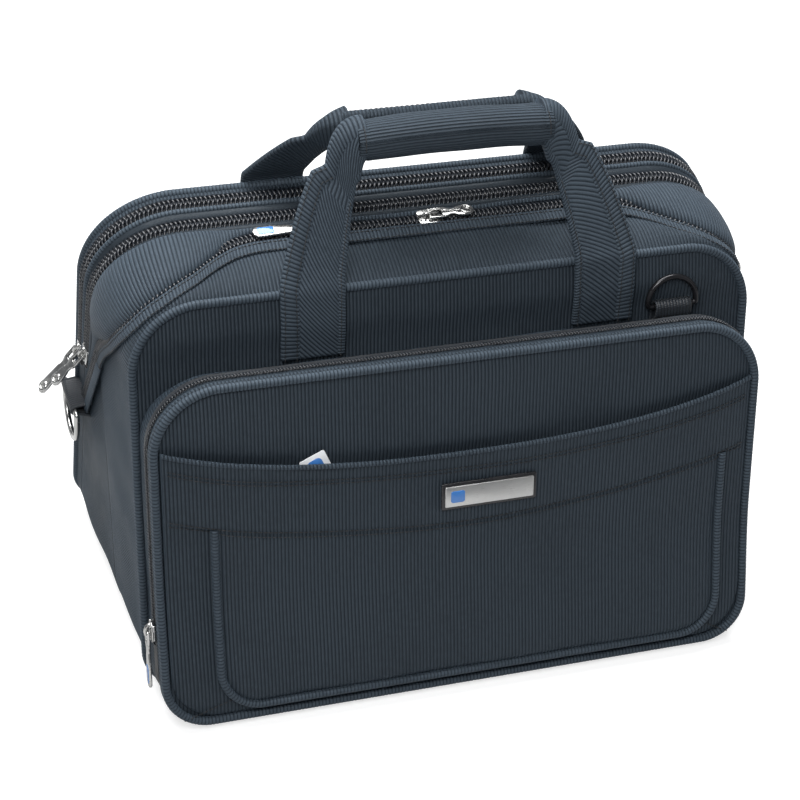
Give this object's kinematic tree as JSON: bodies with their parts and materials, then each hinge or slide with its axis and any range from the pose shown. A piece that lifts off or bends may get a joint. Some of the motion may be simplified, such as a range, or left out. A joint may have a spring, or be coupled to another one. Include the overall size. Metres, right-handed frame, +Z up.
{
  "type": "flight bag",
  "caption": "Soft flight bag with zipped compartments, a zipped front pocket with an open slip pocket, two carrying handles and strap rings.",
  "frame": {"origin": "on the floor under the middle of the bag, halfway between the pocket's face and the rear panel's foot", "axes": "+X to the right seen from the front, +Y to the back, +Z up"},
  "size_m": [0.4788, 0.2474, 0.3696],
  "materials": {
    "ribbed_nylon": "corded charcoal nylon with a soft sheen",
    "webbing": "woven strap, lengthwise lines",
    "lining": "plain padded lining",
    "stiffener": "matt board",
    "zip_coil": "black nylon coil and tape",
    "nickel": "satin nickel casting",
    "black_metal": "gloss black wire",
    "black_plastic": "black frame",
    "enamel": "plain blue enamel",
    "card": "plain white card"
  },
  "bodies": {
    "core": {"base_board": "stiffener", "bottom_panel": "ribbed_nylon", "lower_gusset_left": "ribbed_nylon", "lower_gusset_right": "ribbed_nylon", "rear_divider": "lining", "centre_band": "ribbed_nylon", "zip_b_rear_half": "zip_coil", "zip_c_front_half": "zip_coil", "ring_tab_left": "webbing", "ring_tab_right": "webbing"},
    "mid_shell": {"front_divider": "lining", "wedge_gusset": "ribbed_nylon", "zip_a_rear_half": "zip_coil", "zip_b_front_half": "zip_coil"},
    "front_shell": {"front_panel": "ribbed_nylon", "front_piping": "ribbed_nylon", "front_gusset": "ribbed_nylon", "zip_a_front_half": "zip_coil", "pocket_gusset": "ribbed_nylon", "pocket_foot": "ribbed_nylon", "pocket_zip_inner_half": "zip_coil", "organiser_pouch": "lining", "front_handle_feet": "ribbed_nylon", "front_ring_tab": "webbing"},
    "pocket_flap": {"pocket_panel": "ribbed_nylon", "pocket_piping": "ribbed_nylon", "pocket_zip_outer_half": "zip_coil", "slip_panel": "ribbed_nylon", "slip_piping": "ribbed_nylon", "plate_surround": "black_plastic", "name_plate": "nickel", "plate_inlay": "enamel", "swing_tag": "card"},
    "front_handle": {"front_straps": "ribbed_nylon", "front_grip": "ribbed_nylon"},
    "back_shell": {"rear_panel": "ribbed_nylon", "rear_piping": "ribbed_nylon", "rear_gusset": "ribbed_nylon", "zip_c_rear_half": "zip_coil", "rear_handle_feet": "ribbed_nylon"},
    "rear_handle": {"rear_straps": "ribbed_nylon", "rear_band": "ribbed_nylon"},
    "slider_a_right": {"slider_a_right": "nickel"},
    "slider_a_left": {"slider_a_left": "nickel"},
    "slider_b": {"slider_b": "nickel"},
    "slider_c": {"slider_c": "nickel"},
    "slider_pocket": {"slider_pocket": "nickel"},
    "puller_a_right": {"puller_a_right": "nickel"},
    "puller_a_left": {"puller_a_left": "nickel"},
    "puller_b": {"puller_b": "nickel"},
    "puller_c": {"puller_c": "nickel"},
    "puller_pocket": {"puller_pocket": "nickel"},
    "ring_left": {"ring_left": "nickel"},
    "ring_right": {"ring_right": "nickel"},
    "ring_front": {"ring_front": "black_metal"}
  },
  "joints": [
    {"name": "open_middle", "type": "hinge", "parent": "core", "child": "mid_shell", "pos_m": [0, -0.08496, 0], "axis": [1, 0, 0], "range_deg": [0, 5], "deforming": ["zip_b_front_half", "zip_b_rear_half"]},
    {"name": "open_front", "type": "hinge", "parent": "mid_shell", "child": "front_shell", "pos_m": [0, -0.08496, 0], "axis": [1, 0, 0], "range_deg": [0, 7], "deforming": ["zip_a_front_half", "zip_a_rear_half"]},
    {"name": "open_rear", "type": "hinge", "parent": "core", "child": "back_shell", "pos_m": [0, 0.12, 0], "axis": [-1, 0, 0], "range_deg": [0, 8], "deforming": ["zip_c_front_half", "zip_c_rear_half"]},
    {"name": "pocket_open", "type": "hinge", "parent": "front_shell", "child": "pocket_flap", "pos_m": [0, -0.11997, 0.0557], "axis": [1, 0, 0], "range_deg": [0, 55], "deforming": ["pocket_zip_outer_half", "pocket_zip_inner_half"]},
    {"name": "front_handle_fold", "type": "hinge", "parent": "front_shell", "child": "front_handle", "pos_m": [0.006, -0.03788, 0.271], "axis": [1, 0, 0], "range_deg": [0, 105]},
    {"name": "rear_handle_fold", "type": "hinge", "parent": "back_shell", "child": "rear_handle", "pos_m": [0.006, 0.06713, 0.29535], "axis": [-1, 0, 0], "range_deg": [0, 129]},
    {"name": "slide_a_right", "type": "slide", "parent": "mid_shell", "child": "slider_a_right", "axis": [1, 0, 0], "range_m": [0, 0.13]},
    {"name": "swing_a_right", "type": "hinge", "parent": "slider_a_right", "child": "puller_a_right", "pos_m": [0, 0.01498, 0.28565], "axis": [0, -0.9697, -0.2445], "range_deg": [0, 165]},
    {"name": "slide_a_left", "type": "slide", "parent": "mid_shell", "child": "slider_a_left", "axis": [-1, 0, 0], "range_m": [0, 0.06]},
    {"name": "swing_a_left", "type": "hinge", "parent": "slider_a_left", "child": "puller_a_left", "pos_m": [-0.076, 0.01498, 0.28565], "axis": [0, 0.9697, 0.2445], "range_deg": [0, 165]},
    {"name": "slide_b", "type": "slide", "parent": "core", "child": "slider_b", "axis": [0.0027, -0.2433, 0.9699], "range_m": [0, 0.045]},
    {"name": "swing_b", "type": "hinge", "parent": "slider_b", "child": "puller_b", "pos_m": [-0.22174, 0.06006, 0.17695], "axis": [-0.0542, 0.9685, 0.2431], "range_deg": [0, 120]},
    {"name": "slide_c", "type": "slide", "parent": "core", "child": "slider_c", "axis": [0, -0.1942, 0.981], "range_m": [0, 0.045]},
    {"name": "swing_c", "type": "hinge", "parent": "slider_c", "child": "puller_c", "pos_m": [-0.22244, 0.07458, 0.16995], "axis": [-0.0543, 0.9795, 0.1939], "range_deg": [0, 120]},
    {"name": "slide_pocket", "type": "slide", "parent": "front_shell", "child": "slider_pocket", "axis": [0, 0.1908, 0.9816], "range_m": [0, 0.11]},
    {"name": "swing_pocket", "type": "hinge", "parent": "slider_pocket", "child": "puller_pocket", "pos_m": [-0.2099, -0.09668, 0.06544], "axis": [0, 0.9816, -0.1908], "range_deg": [0, 150]},
    {"name": "swing_ring_left", "type": "hinge", "parent": "core", "child": "ring_left", "pos_m": [-0.2262, 0.07606, 0.131], "axis": [0, 1, 0], "range_deg": [-8, 100]},
    {"name": "swing_ring_right", "type": "hinge", "parent": "core", "child": "ring_right", "pos_m": [0.2262, 0.07606, 0.131], "axis": [0, -1, 0], "range_deg": [-8, 100]},
    {"name": "swing_ring_front", "type": "hinge", "parent": "front_shell", "child": "ring_front", "pos_m": [0.152, -0.04641, 0.23496], "axis": [1, 0, 0], "range_deg": [0, 75]}
  ]
}
